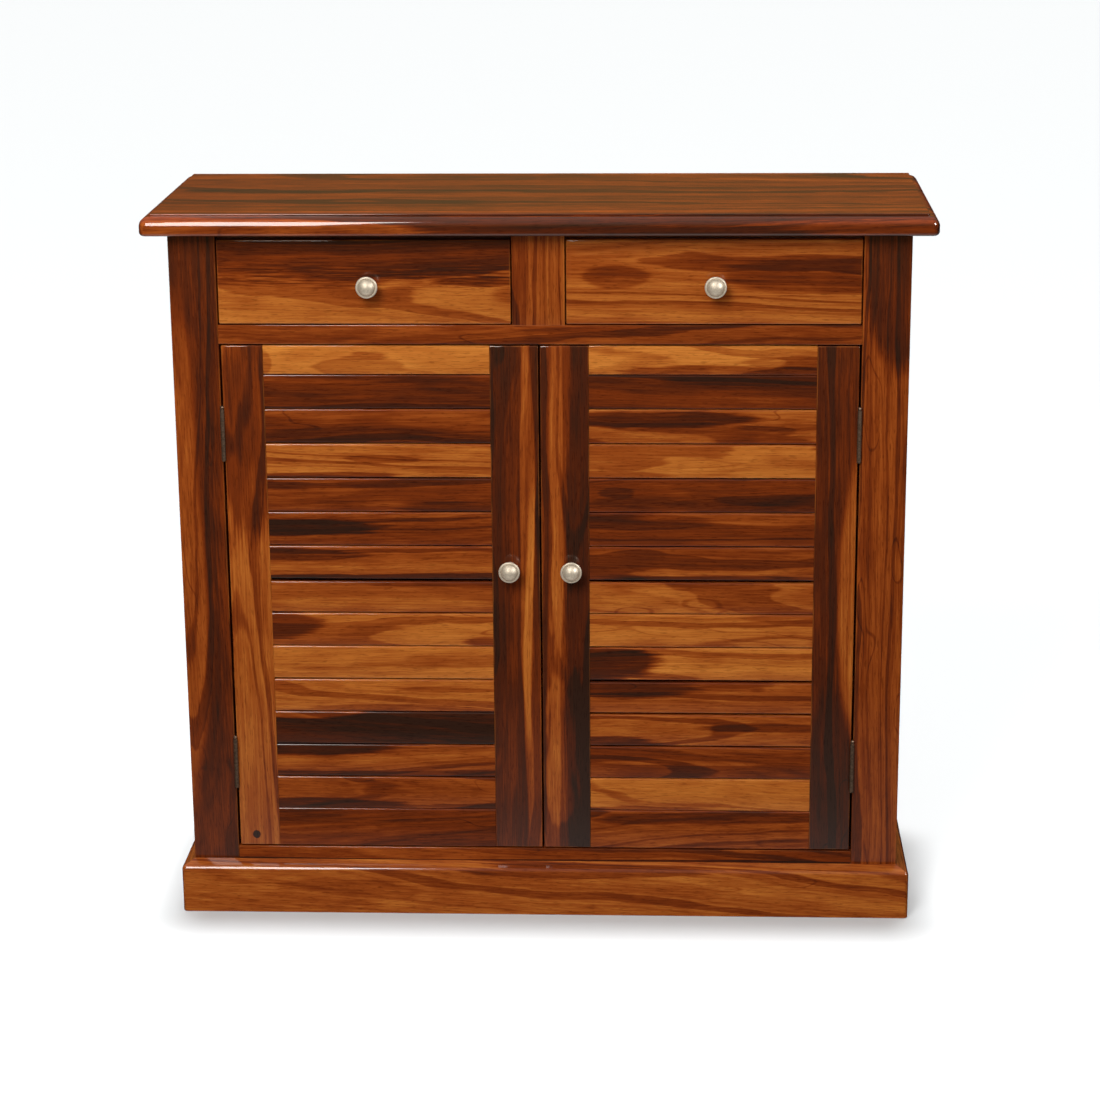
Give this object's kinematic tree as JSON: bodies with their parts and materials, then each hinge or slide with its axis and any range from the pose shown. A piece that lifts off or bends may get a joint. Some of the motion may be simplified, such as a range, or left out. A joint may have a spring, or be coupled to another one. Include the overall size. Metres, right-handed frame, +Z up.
{
  "type": "shoe cabinet",
  "caption": "Rosewood shoe cabinet with drawers over slatted doors, adjustable shelves inside and a moulded plinth.",
  "frame": {"origin": "on the floor under the middle of the cabinet's width and depth", "axes": "+X to the right seen from the front, +Y towards the back, +Z up; the doors and drawers face -Y"},
  "size_m": [0.9, 0.32, 0.85],
  "materials": {
    "rosewood": "gloss lacquer over rosewood with dark heartwood streaks",
    "inner_wood": "thin satin lacquer",
    "plywood": "stained, matt",
    "hinge_bronze": "dark antiqued",
    "knob_nickel": "satin pewter",
    "screw_steel": "zinc plated",
    "zinc_plate": "zinc plated",
    "catch_plastic": "moulded brown plastic"
  },
  "bodies": {
    "cabinet": {"back_panel": "plywood", "bottom_rail": "rosewood", "case_screws": "screw_steel", "centre_drawer_runners": "inner_wood", "centre_stile": "rosewood", "drawer_divider": "inner_wood", "drawer_rail": "rosewood", "floor_panel": "inner_wood", "frame_hinge_leaves": "hinge_bronze", "frame_hinge_screws": "hinge_bronze", "front_stretcher": "inner_wood", "hinge_pins": "hinge_bronze", "left_front_post": "rosewood", "left_side_panel": "rosewood", "lower_shelf": "inner_wood", "magnetic_catches": "catch_plastic", "outer_drawer_runners": "inner_wood", "plinth_front": "rosewood", "plinth_left": "rosewood", "plinth_right": "rosewood", "rear_foot_rail": "inner_wood", "rear_stretcher": "inner_wood", "right_front_post": "rosewood", "right_side_panel": "rosewood", "shelf_pins": "zinc_plate", "top_panel": "rosewood", "upper_shelf": "inner_wood"},
    "left_door": {"left_door_bottom_rail": "rosewood", "left_door_hinge_leaves": "hinge_bronze", "left_door_hinge_screws": "hinge_bronze", "left_door_hinge_stile": "rosewood", "left_door_knob": "knob_nickel", "left_door_knob_bolt": "screw_steel", "left_door_meeting_stile": "rosewood", "left_door_slats": "rosewood", "left_door_strike_plate": "zinc_plate", "left_door_top_rail": "rosewood"},
    "right_door": {"right_door_bottom_rail": "rosewood", "right_door_hinge_leaves": "hinge_bronze", "right_door_hinge_screws": "hinge_bronze", "right_door_hinge_stile": "rosewood", "right_door_knob": "knob_nickel", "right_door_knob_bolt": "screw_steel", "right_door_meeting_stile": "rosewood", "right_door_slats": "rosewood", "right_door_strike_plate": "zinc_plate", "right_door_top_rail": "rosewood"},
    "left_drawer": {"left_drawer_back": "inner_wood", "left_drawer_bottom": "plywood", "left_drawer_front": "rosewood", "left_drawer_knob": "knob_nickel", "left_drawer_knob_bolt": "screw_steel", "left_drawer_sides": "inner_wood"},
    "right_drawer": {"right_drawer_back": "inner_wood", "right_drawer_bottom": "plywood", "right_drawer_front": "rosewood", "right_drawer_knob": "knob_nickel", "right_drawer_knob_bolt": "screw_steel", "right_drawer_sides": "inner_wood"}
  },
  "joints": [
    {"name": "left_door_hinge", "type": "hinge", "parent": "cabinet", "child": "left_door", "pos_m": [-0.36675, -0.1347, 0.38875], "axis": [0, 0, -1], "range_deg": [0, 170]},
    {"name": "right_door_hinge", "type": "hinge", "parent": "cabinet", "child": "right_door", "pos_m": [0.36675, -0.1347, 0.38875], "axis": [0, 0, 1], "range_deg": [0, 170]},
    {"name": "left_drawer_slide", "type": "slide", "parent": "cabinet", "child": "left_drawer", "axis": [0, -1, 0], "range_m": [0, 0.2]},
    {"name": "right_drawer_slide", "type": "slide", "parent": "cabinet", "child": "right_drawer", "axis": [0, -1, 0], "range_m": [0, 0.2]}
  ]
}
